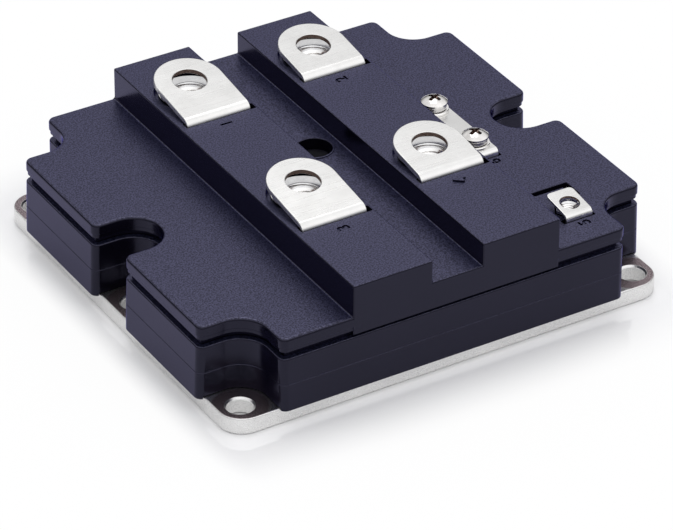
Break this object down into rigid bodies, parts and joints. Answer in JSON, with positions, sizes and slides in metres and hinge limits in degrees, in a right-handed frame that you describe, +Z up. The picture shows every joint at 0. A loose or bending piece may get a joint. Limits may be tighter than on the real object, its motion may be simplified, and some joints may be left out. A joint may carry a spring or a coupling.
{
  "type": "igbt power module",
  "caption": "Flat power semiconductor module: metal baseplate, dark moulded housing with two terminal ridges, bent plated tabs over captive nuts, and small control terminals.",
  "frame": {"origin": "centre of the baseplate's underside", "axes": "+X across the ridges towards the gate terminal, +Y along the ridges, +Z up"},
  "size_m": [0.14, 0.13, 0.0416],
  "materials": {
    "baseplate_metal": "nickel plated, satin",
    "sealant": "matt",
    "moulding": "fine grained, satin",
    "plug": "matt",
    "plated_bar": "nickel plated copper, satin",
    "nut_steel": "zinc plated",
    "screw_steel": "bright plated",
    "spring_steel": "dark plated",
    "ceramic": "matt, with copper pads",
    "silicon": "smooth"
  },
  "bodies": {
    "root": {"baseplate": "baseplate_metal", "sealing_bead": "sealant", "housing_frame": "moulding", "lid": "moulding", "fill_plug": "plug", "collector_front": "plated_bar", "collector_back": "plated_bar", "emitter_front": "plated_bar", "emitter_back": "plated_bar", "nut_collector_front": "nut_steel", "nut_collector_back": "nut_steel", "nut_emitter_front": "nut_steel", "nut_emitter_back": "nut_steel", "gate_terminal": "plated_bar", "gate_nut": "nut_steel", "auxiliary_bar": "plated_bar", "auxiliary_nut_front": "nut_steel", "auxiliary_nut_back": "nut_steel", "flat_washer_front": "screw_steel", "flat_washer_back": "screw_steel", "spring_washer_front": "spring_steel", "spring_washer_back": "spring_steel", "screw_front": "screw_steel", "screw_back": "screw_steel", "substrates": "ceramic", "chips": "silicon"}
  },
  "joints": []
}
